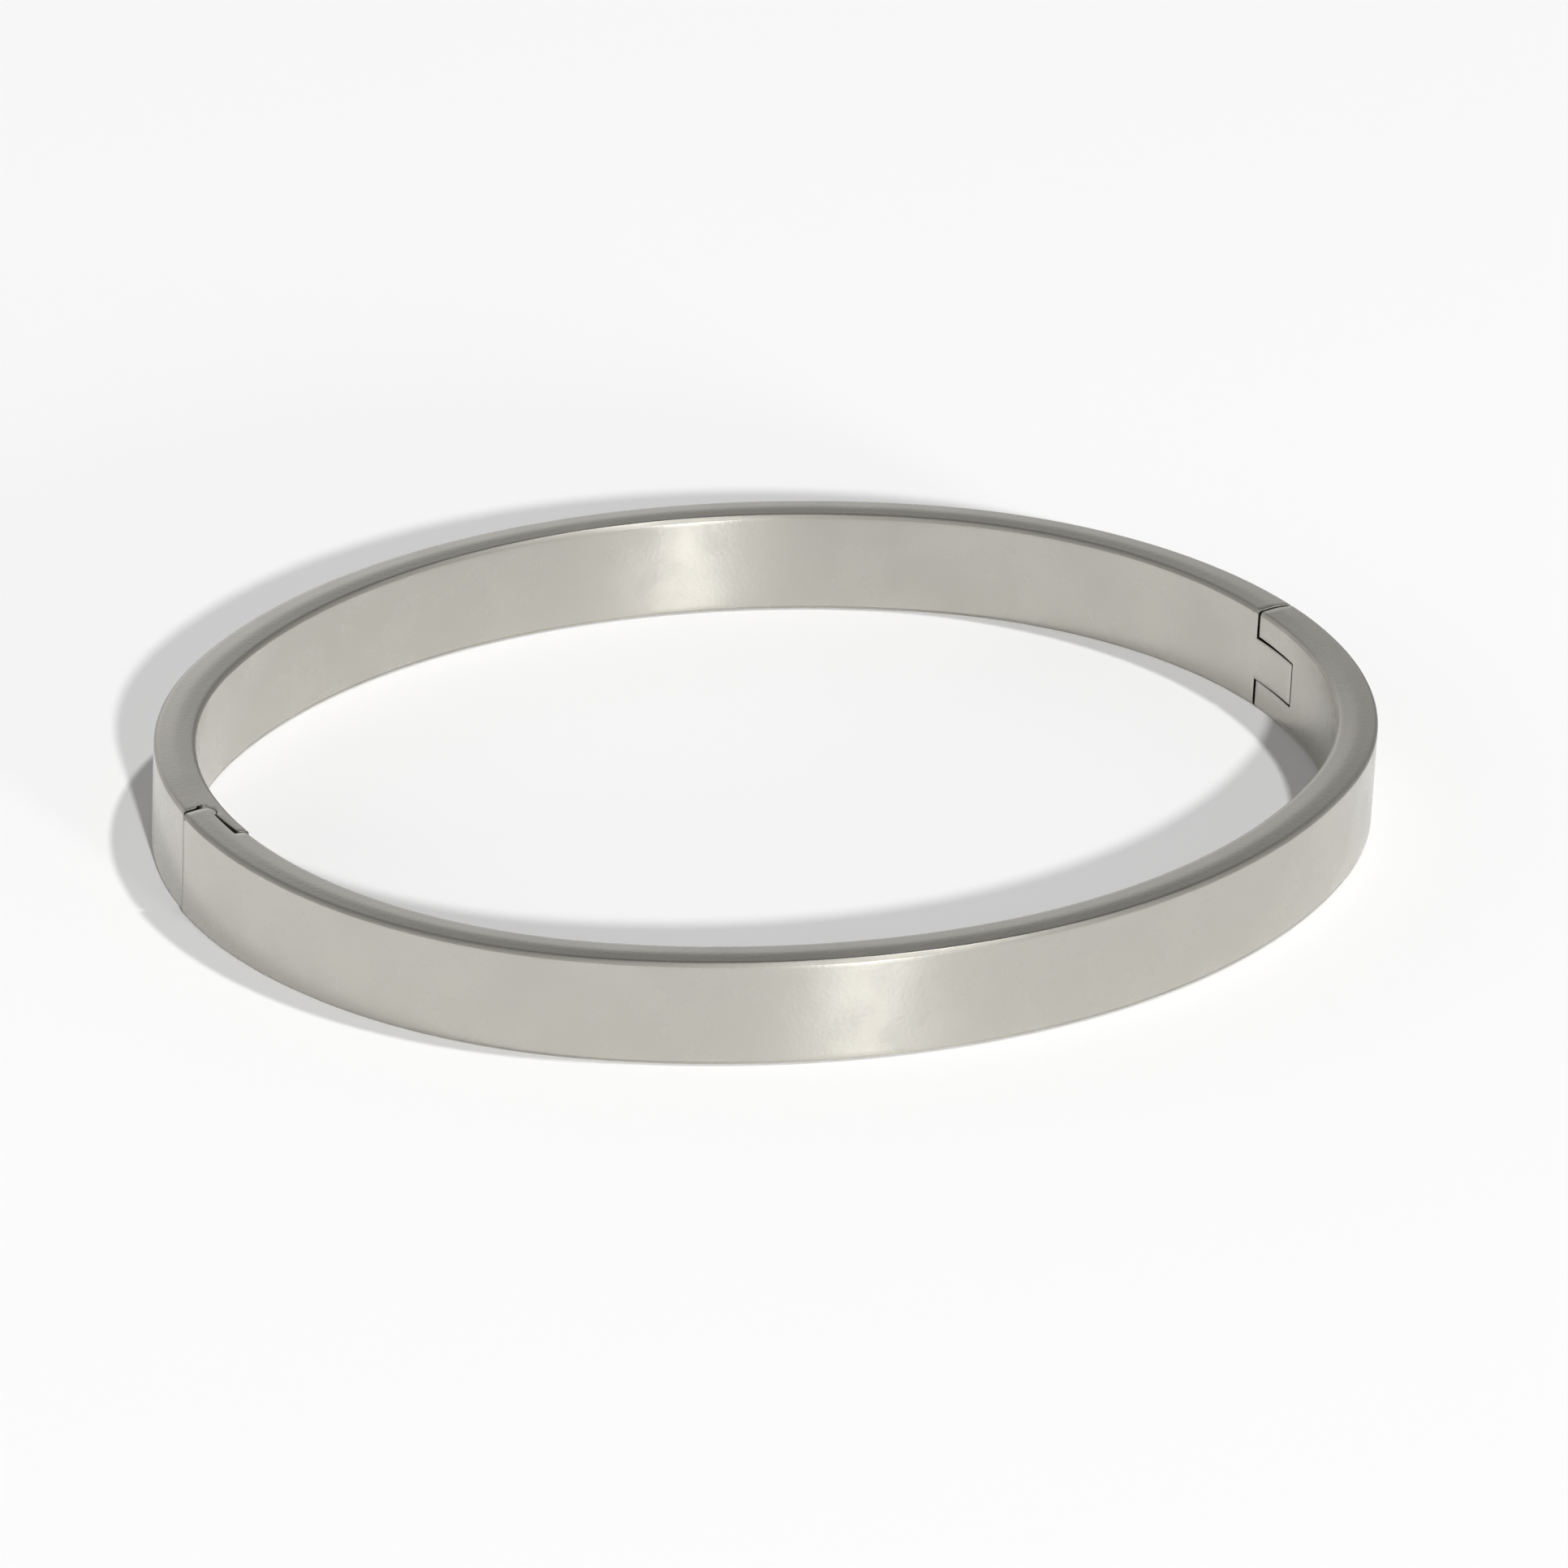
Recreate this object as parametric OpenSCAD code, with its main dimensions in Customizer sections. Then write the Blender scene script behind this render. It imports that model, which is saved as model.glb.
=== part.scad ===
// Oval hinged bangle: two bent band halves, a knuckle hinge at the +X end
// and a snap lap clasp at the -X end. Millimetres, +Z up.
// The origin is the middle of the oval, half way up the band.
// The oval is four tangent arcs, two short end arcs and two long side arcs.
// Their centres lie on 3-4-5 triangles, so the arcs meet on lines of slope 4 to 3.

/* [Oval] */
// Outside length, along X from clasp to hinge
oval_length = 64; // [60:0.4:72]
// Outside width over length
width_share = 0.835; // [0.82:0.005:0.86]
// How far the back half's clasp end sits inside the front half's
clasp_step = 0.15; // [0:0.01:0.2]

/* [Band] */
// Height of the band, along Z
band_h = 5.5; // [4.5:0.1:7]
// Thickness of the band
band_t = 2.1; // [2:0.05:2.4]
// Radius of the rounded long edges
edge_r = 0.22; // [0.15:0.01:0.35]
// Slope of the crowned top and bottom faces, in degrees
crown_slope = 4; // [2:0.5:6]
// Share of the band's thickness that stays flat in the middle of those faces
flat_share = 0.34; // [0.2:0.01:0.5]

/* [Hinge] */
// Gap between the two halves at the hinge
joint_gap = 0.2; // [0.16:0.01:0.3]
// Length of the back half's knuckle past the joint
knuckle_len = 3.5; // [3.3:0.1:4.2]
// Height of the back half's knuckle
knuckle_h = 2.3; // [1.8:0.1:2.6]
// Clearance above, below and past the end of the knuckle
slot_clear = 0.08; // [0.06:0.01:0.12]
// Distance of the pin's axis from the joint
pin_inset = 2.1; // [2:0.05:2.3]
// Depth of the pin's axis under the outer face
pin_depth = 0.78; // [0.7:0.01:0.82]
// Radius of the pin
pin_r = 0.35; // [0.3:0.01:0.4]
// Radial running clearance between the pin and the back half's knuckle
pin_clear = 0.03; // [0.02:0.01:0.06]
// Material left over the pin's blind end
pin_cover = 0.7; // [0.5:0.1:1]
// How far the pin's other end is sunk in its bore
pin_sink = 0.08; // [0.05:0.01:0.2]

/* [Clasp] */
// Distance of the outer lap's tip from the X axis
lap_tip = 3.7; // [3.4:0.01:4]
// Distance of the inner tongue's tip from the X axis
tongue_tip = 0.6; // [0.45:0.01:0.75]
// Depth of the lap's inner face under the band's outer face
lap_depth = 1.4; // [1.3:0.01:1.45]
// Gap between the lap and the tongue at the tongue's tip
lap_gap = 0.26; // [0.2:0.01:0.28]
// Gap between the lap and the tongue beside the snap bead
bead_gap = 0.08; // [0.06:0.01:0.12]
// Gap between the lap's tip and the back half's shoulder
tip_gap = 0.25; // [0.2:0.01:0.3]
// Gap between the tongue's tip and the front half's shoulder
tongue_end_gap = 0.08; // [0.06:0.01:0.12]
// Radius of the snap bead across the lap's tip
bead_r = 0.5; // [0.45:0.01:0.55]
// Distance of the bead's centre from the lap's tip
bead_inset = 0.43; // [0.4:0.01:0.44]
// How far the bead stands in from the lap's inner face
bead_rise = 0.22; // [0.18:0.01:0.24]
// Clearance round the bead in its seat
bead_clear = 0.03; // [0.02:0.01:0.05]
// Radius of the relief groove in the back half's shoulder
relief_r = 0.18; // [0.15:0.01:0.2]
// Radius of the lap's outer corner
lap_corner_r = 0.14; // [0.1:0.01:0.2]
// Radius of the front half's inner corner beside the tongue
inner_corner_r = 0.35; // [0.25:0.01:0.4]
// Chamfer on the tongue's tip
tongue_chamfer = 0.1; // [0.05:0.01:0.12]

/* [Hidden] */

steel = [0.76, 0.75, 0.71];
pin_steel = [0.68, 0.68, 0.67];

arc_fn = 360;
bore_fn = 64;
corner_steps = 4;
curve_steps = 10;
beyond = 1;
far = 15;
corner_relief = 0.05;

// The long and short half widths differ by two of the triangle's units.
half_l = oval_length / 2;
unit = round(100 * half_l * (1 - width_share) / 2) / 100;
end_x = 3 * unit;
side_y = 4 * unit;
end_r = half_l - end_x;
side_r = end_r + 5 * unit;

// The back half's clasp end bends a little tighter, which tucks it inwards by clasp_step.
tuck = clasp_step / (1 - 3 / 5);
tucked_r = end_r - tuck;
tucked_centre = [-end_x - tuck * 3 / 5, tuck * 4 / 5];

clasp_centre = [-end_x, 0];
hinge_centre = [end_x, 0];
back_centre = [0, -side_y];
front_centre = [0, side_y];

clasp_reach = 5;
hinge_reach = 6;

pin_y = -pin_inset;
pin_x = end_x + sqrt(pow(end_r - pin_depth, 2) - pin_y * pin_y);
pin_low = -band_h / 2 + pin_sink;
pin_high = band_h / 2 - pin_cover;
knuckle_turn_r = knuckle_len - pin_inset;
corner_sweep = pin_inset + joint_gap / 2 - corner_relief;

shoulder_y = lap_tip + tip_gap;
front_shoulder_y = tongue_tip - tongue_end_gap;
outside_x = -half_l - beyond;
inside_x = -half_l + band_t + 2 * beyond;

function on_arc(centre, r, from, to, steps) =
    [for (i = [0:steps]) let (a = from + (to - from) * i / steps) centre + r * [cos(a), sin(a)]];

// A point of the clasp at a depth under the front half's outer face and a distance from the X axis.
function clasp_point(depth, y) = [-end_x - sqrt(pow(end_r - depth, 2) - y * y), y];

function clasp_face(depth, from, to) =
    [for (i = [0:curve_steps]) clasp_point(depth, from + (to - from) * i / curve_steps)];

// The snap bead's centre, and how far its inward side leans from the X axis.
bead_y = lap_tip - bead_inset;
bead = clasp_point(lap_depth + bead_rise - bead_r, bead_y);
bead_lean = asin(bead_y / end_r);

// Outline of the band's cross-section, with its outer face at radius r.
function section(r) =
    let (
        middle = r - band_t / 2,
        flat = band_t * flat_share / 2,
        out_x = r - edge_r,
        in_x = r - band_t + edge_r,
        fall = (out_x + edge_r * sin(crown_slope) - middle - flat) * tan(crown_slope),
        z = band_h / 2 - edge_r * cos(crown_slope) - fall
    )
    concat(
        on_arc([out_x, z], edge_r, 0, 90 - crown_slope, corner_steps),
        [[middle + flat, band_h / 2], [middle - flat, band_h / 2]],
        on_arc([in_x, z], edge_r, 90 + crown_slope, 180, corner_steps),
        on_arc([in_x, -z], edge_r, 180, 270 - crown_slope, corner_steps),
        [[middle - flat, -band_h / 2], [middle + flat, -band_h / 2]],
        on_arc([out_x, -z], edge_r, 270 + crown_slope, 360, corner_steps)
    );

module tall(outline, height = 2 * band_h) {
    linear_extrude(height = height, center = true)
        polygon(outline);
}

// The part of a round band that stands inside a plan outline.
module bent_band(centre, r, outline) {
    intersection() {
        translate(centre)
            rotate_extrude($fn = arc_fn)
                polygon(section(r));
        tall(outline);
    }
}

module back_band() {
    bent_band(hinge_centre, end_r, [
        hinge_centre,
        [end_x, -hinge_reach],
        [end_x + 3 * far, -hinge_reach],
        hinge_centre + far * [3, 4]
    ]);
    bent_band(back_centre, side_r, [
        back_centre,
        back_centre + far * [3, 4],
        back_centre + far * [-3, 4]
    ]);
    bent_band(tucked_centre, tucked_r, [
        clasp_centre,
        clasp_centre + far * [-3, 4],
        [-end_x - 3 * far, -clasp_reach / 2],
        [-end_x, -clasp_reach / 2]
    ]);
}

module front_band() {
    bent_band(clasp_centre, end_r, [
        clasp_centre,
        [-end_x, clasp_reach],
        [-end_x - 3 * far, clasp_reach],
        clasp_centre + far * [-3, -4]
    ]);
    bent_band(front_centre, side_r, [
        front_centre,
        front_centre + far * [-3, -4],
        front_centre + far * [3, -4]
    ]);
    bent_band(hinge_centre, end_r, [
        hinge_centre,
        hinge_centre + far * [3, -4],
        [end_x + 3 * far, beyond],
        [end_x, beyond]
    ]);
}

// Plan outline of the hinge knuckle with a margin, rounded about the pin on its outer side.
function knuckle_plan(margin) =
    concat(
        [[half_l - band_t - beyond, beyond], [half_l - band_t - beyond, -knuckle_len - margin]],
        on_arc([pin_x, pin_y], knuckle_turn_r + margin, -90, 0, curve_steps),
        [[pin_x + knuckle_turn_r + margin, beyond]]
    );

// What the back half loses at the hinge: everything past the joint but its knuckle.
module beside_knuckle() {
    difference() {
        translate([half_l - band_t - 2 * beyond, -hinge_reach - beyond, -band_h])
            cube([band_t + 4 * beyond, hinge_reach + beyond + joint_gap / 2, 2 * band_h]);
        tall(knuckle_plan(0), knuckle_h);
    }
}

// What the front half loses at the hinge: the joint gap, the slot and a trace off its outer corners.
module hinge_void() {
    translate([half_l - band_t - 2 * beyond, -joint_gap / 2, -band_h])
        cube([band_t + 4 * beyond, hinge_reach, 2 * band_h]);
    tall(knuckle_plan(slot_clear), knuckle_h + 2 * slot_clear);
    difference() {
        translate([pin_x, pin_y, -band_h])
            cube([band_t + 2 * beyond, hinge_reach, 2 * band_h]);
        translate([pin_x, pin_y, -band_h - beyond])
            cylinder(r = corner_sweep, h = 2 * band_h + 2 * beyond, $fn = bore_fn);
    }
}

// What the front half loses behind its lap, where the tongue goes, and off the lap's outer corner.
module lap_void() {
    bite = acos((bead_r - bead_rise) / bead_r);
    inner_corner = clasp_point(band_t - inner_corner_r, front_shoulder_y - inner_corner_r);
    lap_corner = clasp_point(lap_corner_r, lap_tip - lap_corner_r);
    lap_lean = asin(lap_corner[1] / (end_r - lap_corner_r));
    tall(
        concat(
            on_arc(inner_corner, inner_corner_r, -bead_lean, 90, curve_steps / 2),
            clasp_face(lap_depth, front_shoulder_y, bead_y - bead_r * sin(bite + bead_lean)),
            on_arc(bead, bead_r, -bead_lean - bite, asin(bead_inset / bead_r), curve_steps),
            on_arc(lap_corner, lap_corner_r, 90, 180 - lap_lean, corner_steps),
            [[outside_x - beyond, lap_tip]],
            [[outside_x, clasp_reach + beyond], [inside_x, clasp_reach + beyond]],
            [[inside_x, front_shoulder_y - 2 * inner_corner_r]]
        )
    );
}

// The tongue's outer face, which leaves a gap to the lap that widens from the bead to the tip.
function tongue_face(from, to) =
    [for (i = [0:curve_steps])
        let (y = from + (to - from) * i / curve_steps, share = (to - y) / (to - from))
        clasp_point(lap_depth + bead_gap + (lap_gap - bead_gap) * share, y)];

// What the back half loses round its tongue, where the lap goes.
module tongue_void() {
    seat_r = bead_r + bead_clear;
    seat_bite = acos((bead_r - bead_rise + bead_gap) / seat_r);
    seat_start = bead_y - seat_r * sin(seat_bite + bead_lean);
    tip_depth = band_t + clasp_step;
    tall(
        concat(
            [[inside_x, tongue_tip + 2 * tongue_chamfer]],
            [clasp_point(tip_depth, tongue_tip + tongue_chamfer)],
            [clasp_point(tip_depth - tongue_chamfer, tongue_tip)],
            [clasp_point(lap_depth + lap_gap + tongue_chamfer, tongue_tip)],
            tongue_face(tongue_tip + tongue_chamfer, seat_start),
            on_arc(bead, seat_r, -bead_lean - seat_bite, 90, curve_steps),
            [[bead[0], shoulder_y], [outside_x, shoulder_y]],
            [[outside_x, -clasp_reach], [inside_x, -clasp_reach]]
        )
    );
    translate([bead[0], shoulder_y, -band_h])
        cylinder(r = relief_r, h = 2 * band_h, $fn = bore_fn);
}

module pin_bore(r) {
    translate([pin_x, pin_y, -band_h])
        cylinder(r = r, h = pin_high + band_h, $fn = bore_fn);
}

module front_half() {
    color(steel)
        difference() {
            front_band();
            lap_void();
            hinge_void();
            pin_bore(pin_r);
        }
}

module back_half() {
    color(steel)
        difference() {
            back_band();
            beside_knuckle();
            tongue_void();
            pin_bore(pin_r + pin_clear);
        }
}

module hinge_pin() {
    color(pin_steel)
        translate([pin_x, pin_y, pin_low])
            cylinder(r = pin_r, h = pin_high - pin_low, $fn = bore_fn);
}

front_half();
back_half();
hinge_pin();
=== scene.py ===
"""An oval hinged bangle of polished steel, on a pale floor under soft studio light.

The two halves are shaped in a band that is rolled out flat, where every edge is straight:
u runs along the outer face from the clasp to the hinge, d is the depth under that face and
z is the height. The shape is then rolled up along the oval. Plan sizes are in millimetres.
"""

import math

import bmesh
import bpy
from mathutils import Matrix, Vector, noise


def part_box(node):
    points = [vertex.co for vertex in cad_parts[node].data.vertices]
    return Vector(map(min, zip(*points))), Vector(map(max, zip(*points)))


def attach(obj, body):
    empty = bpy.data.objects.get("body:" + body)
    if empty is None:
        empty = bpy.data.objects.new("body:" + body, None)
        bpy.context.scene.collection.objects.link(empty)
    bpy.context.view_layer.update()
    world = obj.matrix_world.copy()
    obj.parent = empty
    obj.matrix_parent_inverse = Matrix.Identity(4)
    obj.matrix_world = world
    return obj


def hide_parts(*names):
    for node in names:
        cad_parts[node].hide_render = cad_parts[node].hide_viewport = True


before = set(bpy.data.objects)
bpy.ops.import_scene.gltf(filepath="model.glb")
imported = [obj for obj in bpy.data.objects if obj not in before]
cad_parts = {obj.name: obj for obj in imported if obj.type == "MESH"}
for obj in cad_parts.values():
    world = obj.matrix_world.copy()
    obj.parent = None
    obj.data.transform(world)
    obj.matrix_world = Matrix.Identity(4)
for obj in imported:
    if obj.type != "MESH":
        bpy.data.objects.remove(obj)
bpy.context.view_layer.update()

MM = 0.001

# ---- Sizes, in millimetres -------------------------------------------------------------

FRONT_LOW, FRONT_HIGH = (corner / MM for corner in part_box("front_half"))
PIN_LOW, PIN_HIGH = (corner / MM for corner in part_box("hinge_pin"))

HALF_L = -FRONT_LOW.x
HALF_W = -FRONT_LOW.y
BAND_H = FRONT_HIGH.z - FRONT_LOW.z
BAND_T = 2.1

# The oval is four tangent arcs whose centres lie on 3-4-5 triangles.
UNIT = round(HALF_L - HALF_W, 1) / 2
END_X = 3 * UNIT
SIDE_Y = 4 * UNIT
END_R = HALF_L - END_X
SIDE_R = END_R + 5 * UNIT
END_ANGLE = math.atan2(4, 3)
SIDE_ANGLE = math.pi - 2 * END_ANGLE

EDGE_R = 0.22
SEAM_R = 0.04
CROWN_SLOPE = math.radians(4)
# The flat part of the lower face, and of the upper one, as shares of the thickness.
FLAT_SHARE = 0.34
RIDGE_SHARE = 0.1
CROWN_FOOT = 1.4

CLASP_STEP = 0.15
LAP_TIP = 3.7
LAP_DEPTH = 1.4
LAP_GAP = 0.26
BEAD_GAP = 0.08
SHOULDER_Y = LAP_TIP + 0.25
TONGUE_TIP = 0.6
FRONT_SHOULDER_Y = TONGUE_TIP - 0.08
INNER_CORNER_R = 0.35
LAP_CORNER_R = 0.14
# A corner's centre sits this share of its radius under a wall, so the two cross cleanly.
CROSSING = 0.94
BEAD_R = 0.5
BEAD_RISE = 0.22
BEAD_INSET = 0.43
BEAD_Y = LAP_TIP - BEAD_INSET
SEAT_R = BEAD_R + 0.03
RELIEF_R = 0.18

JOINT_Y = 0.1
KNUCKLE_LEN = 3.5
KNUCKLE_H = 2.3
SLOT_CLEAR = 0.08
SLOT_TILT = 0.026
PIN_R = (PIN_HIGH.x - PIN_LOW.x) / 2
PIN_CLEAR = 0.03
PIN = Vector(((PIN_LOW.x + PIN_HIGH.x) / 2, (PIN_LOW.y + PIN_HIGH.y) / 2))
PIN_DEPTH = END_R - math.hypot(PIN.x - END_X, PIN.y)
KNUCKLE_R = KNUCKLE_LEN + PIN.y
# The pin's driven end is dished inside a round rim, and its inner end is chamfered.
PIN_DISH = 0.03
PIN_RIM = 0.05
PIN_RIM_H = 0.08
PIN_CHAMFER = 0.06
PIN_SIDES = 48

# Away from the two joints, the rolled-out band's cross lines turn from square to radial.
SQUARE_TO = 4.5
RADIAL_FROM = 9.0
GRID = 0.4
GRID_Z = 0.5
# The grid's first lines in from the faces, just clear of the rounded edges.
EDGE_STRIP = 0.35
EDGE_STRIP_Z = 0.4
# Depths under the plain stock's skin between which a surface turns from skin to seam.
SEAM_FROM = 0.01
SEAM_TO = 0.05
# Depth, length and height of the shallow waves that hand polishing leaves.
WAVE = 0.006
WAVE_LENGTH = 5
WAVE_HEIGHT = 4
# Points closer than this are one point.
MERGE = 0.0005


# ---- Rolling the flat band up ----------------------------------------------------------

class Half:
    """Where one half's arcs run. side is +1 at the back and -1 at the front.

    The clasp's arc is smaller than the hinge's by tuck, and still tangent to the side's arc.
    """

    def __init__(self, side, tuck):
        self.side = side
        self.clasp_r = END_R - tuck
        self.clasp = Vector((-END_X - 0.6 * tuck, 0.8 * tuck))
        self.side_from = self.clasp_r * END_ANGLE
        self.side_to = self.side_from + SIDE_R * SIDE_ANGLE
        self.length = self.side_to + END_R * END_ANGLE


FRONT = Half(-1, 0)
# The clasp's step is 1 - 0.6 of the tuck.
BACK = Half(1, 2.5 * CLASP_STEP)


def smooth(value, low, high):
    share = min(max((value - low) / (high - low), 0), 1)
    return share * share * (3 - 2 * share)


def end_point(along, radius, depth):
    """Distances from an end arc's centre, along X and across, of a point of the flat band."""
    turned = smooth(abs(along), SQUARE_TO, RADIAL_FROM)
    across = math.sin(along / radius) * (radius - depth * turned)
    return math.sqrt((radius - depth) ** 2 - across ** 2), across


def roll_up(half, u, depth):
    """The place in plan of a point of the flat band."""
    if u < half.side_from:
        out, across = end_point(u, half.clasp_r, depth)
        x, y = half.clasp.x - out, half.clasp.y + across
    elif u < half.side_to:
        angle = END_ANGLE + (u - half.side_from) / SIDE_R
        x = -(SIDE_R - depth) * math.cos(angle)
        y = (SIDE_R - depth) * math.sin(angle) - SIDE_Y
    else:
        out, across = end_point(half.length - u, END_R, depth)
        x, y = END_X + out, across
    return x, half.side * y


def flat_clasp(half, point):
    """A plan point near the clasp, as a point of the flat band."""
    x, y = half.clasp.x - point[0], half.side * point[1] - half.clasp.y
    return half.clasp_r * math.asin(y / half.clasp_r), half.clasp_r - math.hypot(x, y)


def flat_hinge(half, point):
    """A plan point near the hinge, as a point of the flat band."""
    x, y = point[0] - END_X, half.side * point[1]
    return half.length - END_R * math.asin(y / END_R), END_R - math.hypot(x, y)


def arc(centre, radius, start, end, steps=8):
    """Plan points along an arc, with its angles in degrees."""
    angles = [math.radians(start + (end - start) * i / steps) for i in range(steps + 1)]
    return [(centre[0] + radius * math.cos(a), centre[1] + radius * math.sin(a)) for a in angles]


def clasp_point(depth, y):
    """The plan point at a depth under the front half's outer face and a distance from the X axis."""
    return -END_X - math.sqrt((END_R - depth) ** 2 - y * y), y


# ---- Outlines of the flat band ---------------------------------------------------------

BEAD = Vector(clasp_point(LAP_DEPTH + BEAD_RISE - BEAD_R, BEAD_Y))
BEAD_LEAN = math.degrees(math.asin(BEAD_Y / END_R))


def past_faces(outer_from, outer_to, inner_from, inner_to):
    """Points that carry an outline past the outer face and then back past the inner face."""
    return [
        (outer_from, -BAND_T), (outer_to, -BAND_T),
        (inner_from, 2 * BAND_T), (inner_to, 2 * BAND_T)]


def front_outline():
    bite = math.degrees(math.acos((BEAD_R - BEAD_RISE) / BEAD_R))
    inner_corner = clasp_point(BAND_T - CROSSING * INNER_CORNER_R, FRONT_SHOULDER_Y - INNER_CORNER_R)
    lap_corner = clasp_point(CROSSING * LAP_CORNER_R, LAP_TIP - LAP_CORNER_R)
    crossing = math.degrees(math.acos(CROSSING))
    lap_lean = math.degrees(math.asin(lap_corner[1] / (END_R - LAP_CORNER_R)))
    tip_angle = math.degrees(math.asin(BEAD_INSET / BEAD_R))
    plan = arc(inner_corner, INNER_CORNER_R, crossing, 90)
    plan.append(clasp_point(LAP_DEPTH, FRONT_SHOULDER_Y))
    plan += arc(BEAD, BEAD_R, -BEAD_LEAN - bite, tip_angle, 12)
    plan += arc(lap_corner, LAP_CORNER_R, 90, 180 - lap_lean - crossing, 6)
    flat = [flat_clasp(FRONT, p) for p in plan]
    joint = FRONT.length - JOINT_Y
    return flat + past_faces(flat[-1][0], joint, joint, flat[0][0])


def back_outline():
    bite = math.degrees(math.acos((BEAD_R - BEAD_RISE + BEAD_GAP) / SEAT_R))
    seat = arc(BEAD, SEAT_R, -BEAD_LEAN - bite, 90, 12)
    relief = arc((BEAD.x, SHOULDER_Y), RELIEF_R, 0, 180)
    plan = [clasp_point(LAP_DEPTH + LAP_GAP, TONGUE_TIP)]
    plan += seat[:-1] + [(BEAD.x, BEAD_Y + SEAT_R), (BEAD.x + RELIEF_R, SHOULDER_Y)]
    plan += relief[1:] + [clasp_point(0, SHOULDER_Y)]
    flat = [flat_clasp(BACK, p) for p in plan]
    joint = BACK.length - JOINT_Y
    return flat + past_faces(flat[-1][0], joint, joint, flat[0][0])


def knuckle_outline():
    """The back half's knuckle, from its end to well inside the back half, rounded about the pin."""
    radius = KNUCKLE_R
    centre_to_pin = END_R - PIN_DEPTH
    spread = math.degrees(math.acos(
        (END_R ** 2 - centre_to_pin ** 2 - radius ** 2) / (2 * centre_to_pin * radius)))
    outward = math.degrees(math.atan2(PIN.y, PIN.x - END_X))
    flat = [flat_hinge(BACK, p) for p in arc(PIN, radius, -90, outward - spread)]
    tip_u, root_u = flat[0][0], BACK.length - JOINT_Y - 1
    return flat[:-1] + [(flat[-1][0], 0), (root_u, 0), (root_u, BAND_T), (tip_u, BAND_T)]


def slot_outline():
    """The knuckle's slot, from its end to past the joint and past both faces of the band."""
    radius = KNUCKLE_R + SLOT_CLEAR
    flat = [flat_hinge(FRONT, p) for p in arc(PIN, radius, -90, -30)]
    past_joint = FRONT.length + 1
    return flat + [(past_joint, flat[-1][1]), (past_joint, 2 * BAND_T), (flat[0][0], 2 * BAND_T)]


def pin_outline(half, radius):
    return [flat_hinge(half, p) for p in arc(PIN, radius, 0, 360, 32)[:-1]]


# ---- Solids of the flat band -----------------------------------------------------------

def solid(outline, low, high, slope=0):
    """An upright prism on an outline, its ends tilted along u by a slope."""
    middle = sum(u for u, depth in outline) / len(outline)
    bm = bmesh.new()
    rings = [
        [bm.verts.new((u, depth, z + slope * (u - middle))) for u, depth in outline]
        for z in (low, high)]
    bm.faces.new(rings[0])
    bm.faces.new(rings[1])
    for i in range(len(outline)):
        bm.faces.new((rings[0][i - 1], rings[0][i], rings[1][i], rings[1][i - 1]))
    bmesh.ops.recalc_face_normals(bm, faces=bm.faces)
    mesh = bpy.data.meshes.new("prism")
    bm.to_mesh(mesh)
    bm.free()
    return mesh


def bar(half):
    """The band's plain stock with its four long edges rounded, longer than the half at both ends."""
    corners = [(BAND_T, 1, 0), (0, 1, 90), (0, -1, 180), (BAND_T, -1, 270)]
    section = []
    for depth, top, start in corners:
        inward = EDGE_R if depth == 0 else -EDGE_R
        centre = (depth + inward, top * (BAND_H / 2 - EDGE_R))
        section += arc(centre, EDGE_R, start, start + 90, 5)
    mesh = solid(section, -BAND_T * 4, half.length + BAND_T)
    mesh.transform(Matrix(((0, 0, 1, 0), (1, 0, 0, 0), (0, 1, 0, 0), (0, 0, 0, 1))))
    return mesh


def evaluated(mesh, make_modifier):
    """The mesh with the modifier applied that the maker adds to the object it is given."""
    holder = bpy.data.objects.new("holder", mesh)
    bpy.context.scene.collection.objects.link(holder)
    make_modifier(holder)
    graph = bpy.context.evaluated_depsgraph_get()
    result = bpy.data.meshes.new_from_object(holder.evaluated_get(graph))
    bpy.data.objects.remove(holder)
    return result


def combined(mesh, tool_mesh, operation):
    tool = bpy.data.objects.new("tool", tool_mesh)
    bpy.context.scene.collection.objects.link(tool)

    def boolean(holder):
        modifier = holder.modifiers.new("boolean", "BOOLEAN")
        modifier.operation = operation
        modifier.solver = "EXACT"
        modifier.object = tool

    result = evaluated(mesh, boolean)
    bpy.data.objects.remove(tool)
    return result


def is_sharp(edge):
    return len(edge.link_faces) == 2 and edge.calc_face_angle() > math.radians(35)


def softened(mesh):
    """The mesh with every sharp edge slightly rounded."""
    bm = bmesh.new()
    bm.from_mesh(mesh)
    bmesh.ops.remove_doubles(bm, verts=bm.verts, dist=MERGE)
    bmesh.ops.dissolve_limit(bm, angle_limit=math.radians(0.5), verts=bm.verts, edges=bm.edges)
    sharp = [edge for edge in bm.edges if is_sharp(edge)]
    bmesh.ops.bevel(
        bm, geom=sharp, offset=SEAM_R, offset_type="OFFSET", segments=3, profile=0.5,
        affect="EDGES", clamp_overlap=False)
    bm.to_mesh(mesh)
    bm.free()
    return mesh


def under_skin(place):
    """How far a point of the flat band is under the surface of the plain stock."""
    across = abs(place.y - BAND_T / 2) - (BAND_T / 2 - EDGE_R)
    upward = abs(place.z) - (BAND_H / 2 - EDGE_R)
    outside = math.hypot(max(across, 0), max(upward, 0))
    return EDGE_R - outside - min(max(across, upward), 0)


# ---- Grid, crown and roll-up -----------------------------------------------------------

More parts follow.
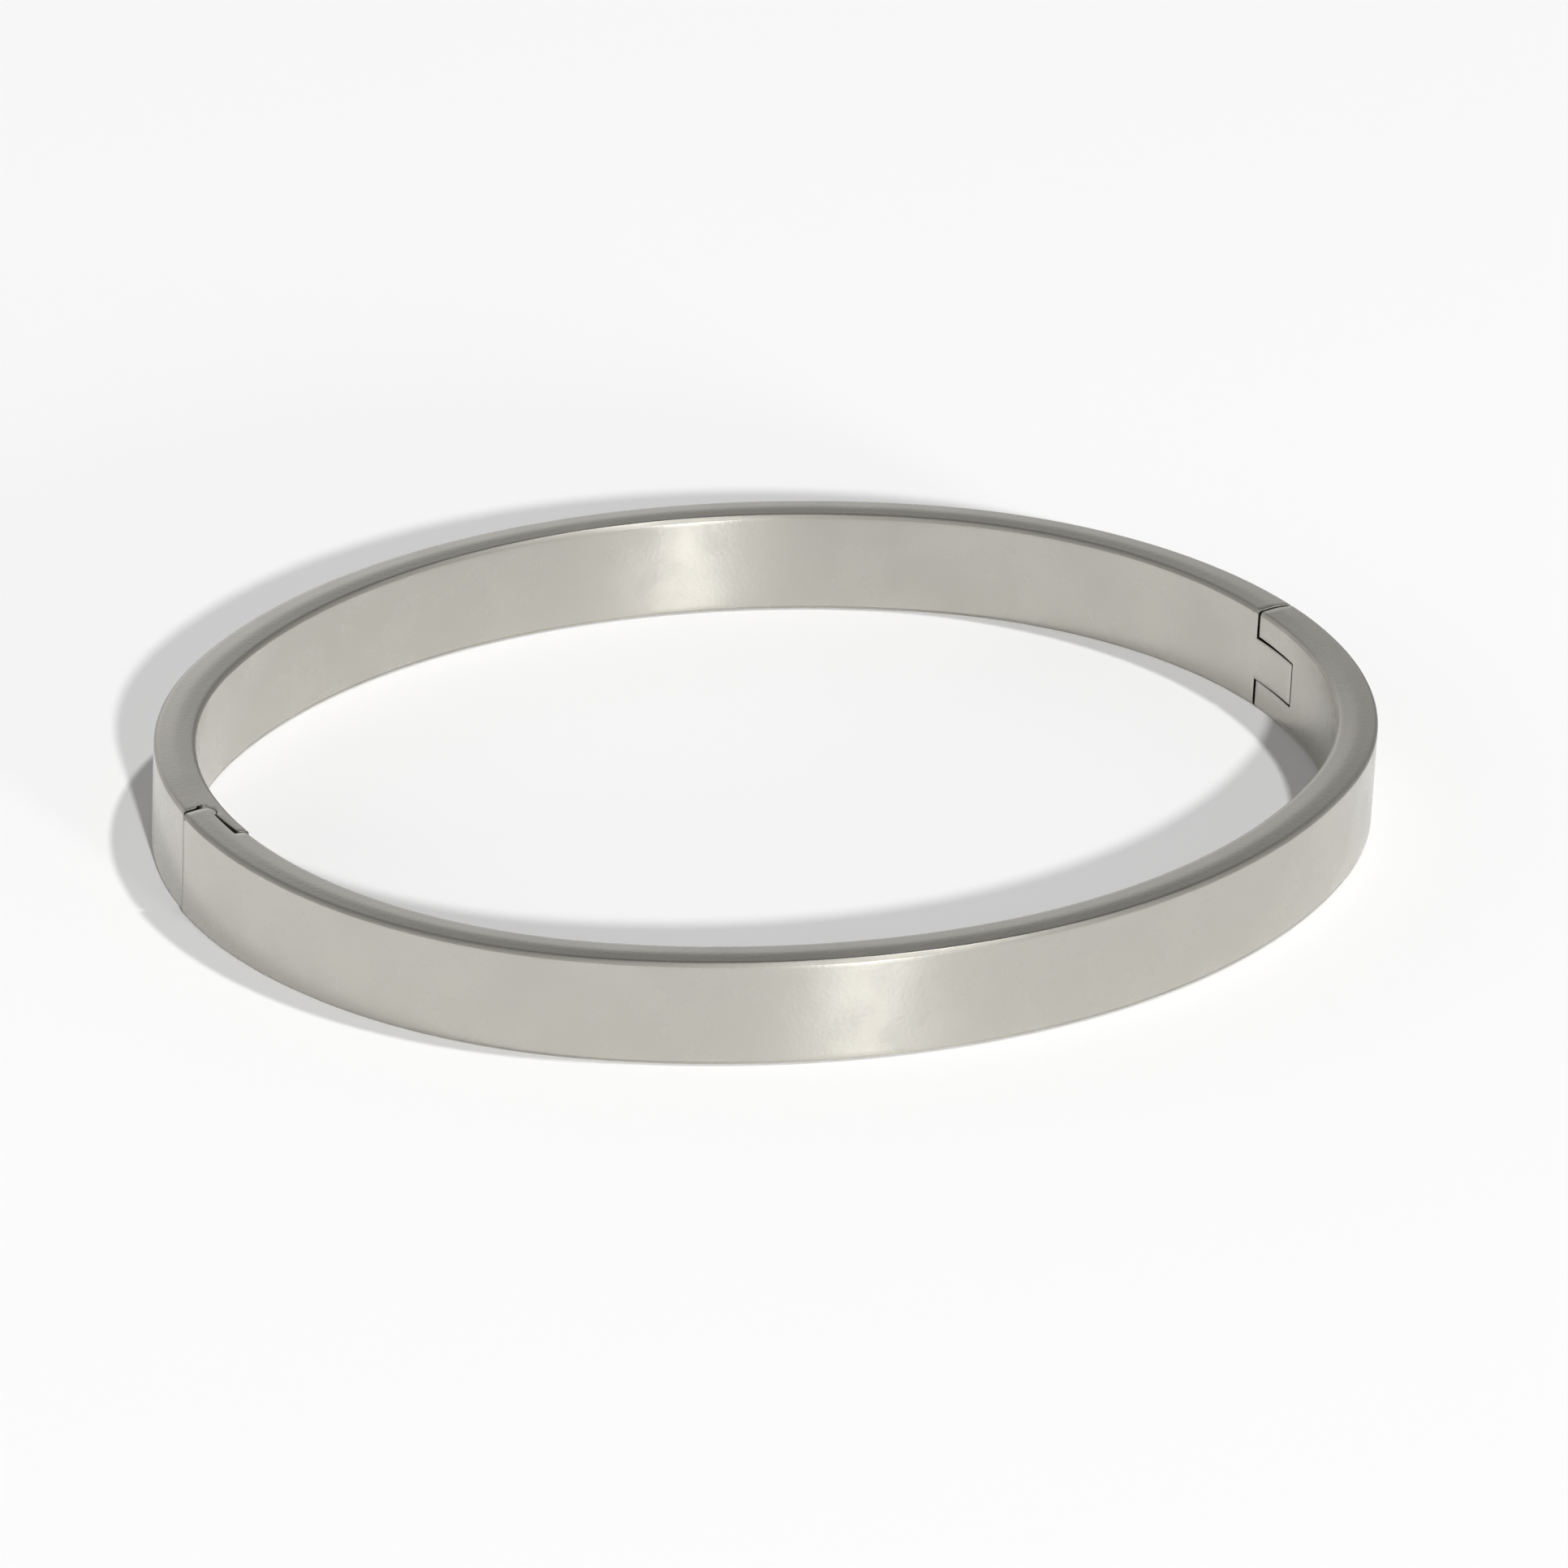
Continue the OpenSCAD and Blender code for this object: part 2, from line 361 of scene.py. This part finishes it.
def slice_across(bm, axis, places):
    """Cuts the mesh by planes square to one axis, at rising places."""
    normal = [0, 0, 0]
    normal[axis] = 1
    for place in places:
        faces = [f for f in bm.faces if max(v.co[axis] for v in f.verts) > place]
        point = [place * n for n in normal]
        edges = list({edge for face in faces for edge in face.edges})
        vertices = list({vertex for face in faces for vertex in face.verts})
        geometry = vertices + edges + faces
        bmesh.ops.bisect_plane(bm, geom=geometry, plane_co=point, plane_no=normal, dist=MERGE)


def steps_between(low, high, step):
    count = max(1, round((high - low) / step))
    return [low + (high - low) * i / count for i in range(count + 1)]


def crown_fall(depth, z):
    """How far a crowned face has fallen at a depth under the outer face."""
    share = RIDGE_SHARE if z > 0 else FLAT_SHARE
    off_flat = abs(depth - BAND_T / 2) - BAND_T * share / 2
    return max(off_flat, 0) * math.tan(CROWN_SLOPE)


def hand_finish(u, z, half):
    """How far hand polishing has sunk the surface at a place."""
    place = Vector((u / WAVE_LENGTH, z / WAVE_HEIGHT, 7 * half.side))
    return WAVE * (0.5 + 0.5 * noise.noise(place))


def band(name, mesh, half):
    """A finished half from its flat, rounded mesh."""
    bm = bmesh.new()
    bm.from_mesh(mesh)
    low_u = min(v.co.x for v in bm.verts)
    high_u = max(v.co.x for v in bm.verts)
    creases = [EDGE_STRIP, BAND_T - EDGE_STRIP]
    for share in (-FLAT_SHARE, -RIDGE_SHARE, 0, RIDGE_SHARE, FLAT_SHARE):
        creases.append(BAND_T / 2 * (1 + share))
    top_line = BAND_H / 2 - EDGE_STRIP_Z
    slice_across(bm, 2, steps_between(-top_line, top_line, GRID_Z))
    slice_across(bm, 1, sorted(creases))
    slice_across(bm, 0, steps_between(low_u, high_u, GRID)[1:-1])
    awkward = [f for f in bm.faces if len(f.verts) > 4 or not all(loop.is_convex for loop in f.loops)]
    bmesh.ops.triangulate(bm, faces=awkward, ngon_method="BEAUTY")
    seam = bm.verts.layers.float.new("seam")
    for vertex in bm.verts:
        vertex[seam] = smooth(under_skin(vertex.co), SEAM_FROM, SEAM_TO)
        u, depth, z = vertex.co
        sunk = hand_finish(u, z, half)
        lift = min(max((abs(z) - CROWN_FOOT) / (BAND_H / 2 - CROWN_FOOT), 0), 1)
        x, y = roll_up(half, u, depth + sunk * (1 - 2 * depth / BAND_T))
        z -= math.copysign((crown_fall(depth, z) + sunk) * lift, z)
        vertex.co = Vector((x, y, z)) * MM
    bmesh.ops.recalc_face_normals(bm, faces=bm.faces)
    shaped = bpy.data.meshes.new(name)
    bm.to_mesh(shaped)
    bm.free()
    shaped.shade_smooth()
    piece = bpy.data.objects.new(name, shaped)
    bpy.context.scene.collection.objects.link(piece)
    modifier = piece.modifiers.new("even_shading", "WEIGHTED_NORMAL")
    modifier.weight = 100
    return piece


def front_half():
    prism = solid(front_outline(), -BAND_H, BAND_H)
    mesh = combined(bar(FRONT), prism, "INTERSECT")
    slot_h = KNUCKLE_H / 2 + SLOT_CLEAR
    mesh = combined(mesh, solid(slot_outline(), -slot_h, slot_h, SLOT_TILT), "DIFFERENCE")
    mesh = combined(mesh, solid(pin_outline(FRONT, PIN_R), -BAND_H, PIN_HIGH.z), "DIFFERENCE")
    return band("polished_front_half", softened(mesh), FRONT)


def back_half():
    prism = solid(back_outline(), -BAND_H, BAND_H)
    mesh = combined(bar(BACK), prism, "INTERSECT")
    knuckle = solid(knuckle_outline(), -KNUCKLE_H / 2, KNUCKLE_H / 2)
    mesh = combined(mesh, knuckle, "UNION")
    bore = solid(pin_outline(BACK, PIN_R + PIN_CLEAR), -BAND_H, BAND_H)
    mesh = combined(mesh, bore, "DIFFERENCE")
    return band("polished_back_half", softened(mesh), BACK)


def hinge_pin():
    """The pin, from a turned profile of radii and heights over its driven end."""
    length = PIN_HIGH.z - PIN_LOW.z
    turned = [
        (0, PIN_DISH), (PIN_R - 0.12, 0.02), (PIN_R - PIN_RIM, 0), (PIN_R - 0.01, 0.03),
        (PIN_R, PIN_RIM_H), (PIN_R, length - PIN_CHAMFER), (PIN_R - PIN_CHAMFER, length),
        (0, length)]
    bm = bmesh.new()
    rings = []
    for radius, height in turned[1:-1]:
        spots = arc(PIN, radius, 0, 360, PIN_SIDES)[:-1]
        rings.append([bm.verts.new((x, y, PIN_LOW.z + height)) for x, y in spots])
    for lower, upper in zip(rings, rings[1:]):
        for i in range(PIN_SIDES):
            bm.faces.new((lower[i - 1], lower[i], upper[i], upper[i - 1]))
    for ring, (radius, height) in ((rings[0], turned[0]), (rings[-1], turned[-1])):
        tip = bm.verts.new((PIN.x, PIN.y, PIN_LOW.z + height))
        for i in range(PIN_SIDES):
            bm.faces.new((ring[i - 1], ring[i], tip))
    bmesh.ops.scale(bm, vec=(MM, MM, MM), verts=bm.verts)
    bmesh.ops.recalc_face_normals(bm, faces=bm.faces)
    mesh = bpy.data.meshes.new("turned_hinge_pin")
    bm.to_mesh(mesh)
    bm.free()
    mesh.shade_smooth()
    piece = bpy.data.objects.new("turned_hinge_pin", mesh)
    bpy.context.scene.collection.objects.link(piece)
    return piece


# ---- Materials -------------------------------------------------------------------------

def material(name):
    made = bpy.data.materials.new(name)
    made.use_nodes = True
    return made, made.node_tree.nodes, made.node_tree.links


def fill_ramp(ramp, levels):
    """Sets a colour ramp's grey stops."""
    stops = ramp.color_ramp.elements
    while len(stops) < len(levels):
        stops.new(0.5)
    for stop, (position, level) in zip(stops, levels):
        stop.position = position
        stop.color = (level, level, level, 1)


def seam_dark(nodes, links, shader, tint):
    """Leaves the faces inside a seam dark and unpolished."""
    seam = nodes.new("ShaderNodeAttribute")
    seam.attribute_name = "seam"
    colour = nodes.new("ShaderNodeMix")
    colour.data_type = "RGBA"
    colour.inputs["A"].default_value = (*tint, 1)
    colour.inputs["B"].default_value = (*SEAM_TINT, 1)
    links.new(seam.outputs["Fac"], colour.inputs["Factor"])
    links.new(colour.outputs["Result"], shader.inputs["Base Color"])


def facing_gloss(nodes, links, roughness):
    """Roughness by which way the steel faces: worn edges, and glossier crowned faces."""
    surface = nodes.new("ShaderNodeNewGeometry")
    axes = nodes.new("ShaderNodeSeparateXYZ")
    upright = nodes.new("ShaderNodeMath")
    upright.operation = "ABSOLUTE"
    ramp = nodes.new("ShaderNodeValToRGB")
    links.new(surface.outputs["Normal"], axes.inputs["Vector"])
    links.new(axes.outputs["Z"], upright.inputs[0])
    links.new(upright.outputs["Value"], ramp.inputs["Fac"])
    fill_ramp(ramp, [
        (0.08, roughness), (0.25, EDGE_ROUGHNESS), (0.9, EDGE_ROUGHNESS),
        (0.985, CROWN_ROUGHNESS)])
    return ramp.outputs["Color"]


def noise_texture(nodes, links, place, scale, detail):
    texture = nodes.new("ShaderNodeTexNoise")
    texture.inputs["Scale"].default_value = scale
    texture.inputs["Detail"].default_value = detail
    links.new(place.outputs["Object"], texture.inputs["Vector"])
    return texture.outputs["Fac"]


def polishing_grain(nodes, links, shader):
    """Stretches highlights upright, across polishing marks that run round the band."""
    around = nodes.new("ShaderNodeTangent")
    around.direction_type = "RADIAL"
    around.axis = "Z"
    shader.inputs["Anisotropic"].default_value = 0.8
    shader.inputs["Anisotropic Rotation"].default_value = 0.25
    links.new(around.outputs["Tangent"], shader.inputs["Tangent"])


def uneven_gloss(nodes, links, shader, place, roughness):
    """Roughness that drifts a little from place to place."""
    uneven = nodes.new("ShaderNodeMapRange")
    uneven.inputs["From Min"].default_value = 0.3
    uneven.inputs["From Max"].default_value = 0.7
    uneven.inputs["To Min"].default_value = -0.04
    uneven.inputs["To Max"].default_value = 0.05
    total = nodes.new("ShaderNodeMath")
    total.operation = "ADD"
    haze = noise_texture(nodes, links, place, 0.35 / MM, 3)
    links.new(haze, uneven.inputs["Value"])
    links.new(uneven.outputs["Result"], total.inputs[0])
    links.new(facing_gloss(nodes, links, roughness), total.inputs[1])
    links.new(total.outputs["Value"], shader.inputs["Roughness"])


def orange_peel(nodes, links, shader, place):
    bump = nodes.new("ShaderNodeBump")
    bump.inputs["Strength"].default_value = 0.14
    bump.inputs["Distance"].default_value = 0.03 * MM
    links.new(noise_texture(nodes, links, place, 4.5 / MM, 1), bump.inputs["Height"])
    links.new(bump.outputs["Normal"], shader.inputs["Normal"])


def polished_steel(name, tint, roughness):
    """Hand-polished steel: a faint orange peel, soft polishing marks and an uneven gloss."""
    made, nodes, links = material(name)
    shader = nodes["Principled BSDF"]
    shader.inputs["Metallic"].default_value = 1.0
    place = nodes.new("ShaderNodeTexCoord")
    seam_dark(nodes, links, shader, tint)
    polishing_grain(nodes, links, shader)
    uneven_gloss(nodes, links, shader, place, roughness)
    orange_peel(nodes, links, shader, place)
    return made


def matte(name, tint):
    made, nodes, _ = material(name)
    shader = nodes["Principled BSDF"]
    shader.inputs["Base Color"].default_value = (*tint, 1)
    shader.inputs["Roughness"].default_value = 1.0
    shader.inputs["Specular IOR Level"].default_value = 0.0
    return made


def dress(piece, finish):
    piece.data.materials.clear()
    piece.data.materials.append(finish)


# ---- Studio ----------------------------------------------------------------------------

AZIMUTH, ELEVATION, ROLL = (math.radians(angle) for angle in (-33.51, 24.95, 2.86))
DISTANCE = 506.9 * MM
LENS = 231.14
SENSOR = 36.0
AIM_RIGHT = 0.774 * MM
AIM_UP = -0.771 * MM
LAMP_DISTANCE = 4.0
# Brightness of the room at rising shares of the way from the horizon to overhead.
SKY = [(0.0, 0.70), (0.2, 0.66), (0.29, 0.63), (0.42, 0.52), (0.545, 0.31), (0.7, 0.18)]
# The room's strength at the viewer's left and right, and how far to each side it turns.
SKY_LEFT = 1.25
SKY_RIGHT = 0.78
SKY_REACH = 0.12


def camera():
    back = toward(AZIMUTH, ELEVATION)
    level = Vector((0, 0, 1)).cross(back).normalized()
    upright = back.cross(level)
    right = math.cos(ROLL) * level + math.sin(ROLL) * upright
    up = math.cos(ROLL) * upright - math.sin(ROLL) * level
    data = bpy.data.cameras.new("camera")
    data.lens = LENS
    data.sensor_width = SENSOR
    data.clip_end = 10
    seen = bpy.data.objects.new("camera", data)
    seen.matrix_world = Matrix((right, up, back)).transposed().to_4x4()
    seen.location = DISTANCE * back + AIM_RIGHT * right + AIM_UP * up
    bpy.context.scene.collection.objects.link(seen)
    bpy.context.scene.camera = seen


def floor():
    size = 1.5
    mesh = bpy.data.meshes.new("floor")
    corners = [(-size, -size), (size, -size), (size, size), (-size, size)]
    mesh.from_pydata([(x, y, -BAND_H / 2 * MM) for x, y in corners], [], [(0, 1, 2, 3)])
    ground = bpy.data.objects.new("floor", mesh)
    bpy.context.scene.collection.objects.link(ground)
    dress(ground, matte("pale_floor", (0.9, 0.9, 0.9)))


def toward(azimuth, elevation):
    """The direction from the origin to a viewer or a lamp, from its angles in radians."""
    return Vector((
        math.sin(azimuth) * math.cos(elevation),
        -math.cos(azimuth) * math.cos(elevation),
        math.sin(elevation)))


def lamp(name, azimuth, elevation, size, power, mirrored=True):
    """A round soft lamp aimed at the bangle, its angles in degrees, with or without a glint."""
    data = bpy.data.lights.new(name, "AREA")
    data.shape = "DISK"
    data.size = size
    data.energy = power
    light = bpy.data.objects.new(name, data)
    light.visible_glossy = mirrored
    away = toward(math.radians(azimuth), math.radians(elevation))
    light.location = LAMP_DISTANCE * away
    light.rotation_euler = away.to_track_quat("Z", "Y").to_euler()
    bpy.context.scene.collection.objects.link(light)


def sky():
    """A pale room that darkens with height, and towards the viewer's right."""
    world = bpy.data.worlds.new("room")
    world.use_nodes = True
    nodes, links = world.node_tree.nodes, world.node_tree.links
    place = nodes.new("ShaderNodeTexCoord")
    axes = nodes.new("ShaderNodeSeparateXYZ")
    ramp = nodes.new("ShaderNodeValToRGB")
    links.new(place.outputs["Generated"], axes.inputs["Vector"])
    links.new(axes.outputs["Z"], ramp.inputs["Fac"])
    links.new(ramp.outputs["Color"], nodes["Background"].inputs["Color"])
    fill_ramp(ramp, SKY)
    sideways = nodes.new("ShaderNodeVectorMath")
    sideways.operation = "DOT_PRODUCT"
    sideways.inputs[1].default_value = (math.cos(AZIMUTH), math.sin(AZIMUTH), 0)
    side = nodes.new("ShaderNodeMapRange")
    side.inputs["From Min"].default_value = -SKY_REACH
    side.inputs["From Max"].default_value = SKY_REACH
    side.inputs["To Min"].default_value = SKY_LEFT
    side.inputs["To Max"].default_value = SKY_RIGHT
    links.new(place.outputs["Generated"], sideways.inputs[0])
    links.new(sideways.outputs["Value"], side.inputs["Value"])
    links.new(side.outputs["Result"], nodes["Background"].inputs["Strength"])
    bpy.context.scene.world = world


STEEL_TINT = (0.55, 0.533, 0.485)
PIN_TINT = (0.52, 0.52, 0.51)
SEAM_TINT = (0.2, 0.195, 0.185)
EDGE_ROUGHNESS = 0.62
CROWN_ROUGHNESS = 0.16

steel = polished_steel("polished_steel", STEEL_TINT, 0.28)
pin_steel = polished_steel("pin_steel", PIN_TINT, 0.34)

front = front_half()
dress(front, steel)
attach(front, "front")
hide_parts("front_half")

back = back_half()
dress(back, steel)
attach(back, "back")
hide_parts("back_half")

pin = hinge_pin()
dress(pin, pin_steel)
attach(pin, "front")
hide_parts("hinge_pin")

floor()
sky()
lamp("camera_side", -21.5, 21.5, 0.16, 150, mirrored=False)
lamp("overhead", 56.5, 69, 0.3, 64)
lamp("low_front", 0, 8, 0.5, 48)
camera()
bpy.context.scene.view_settings.view_transform = "Standard"
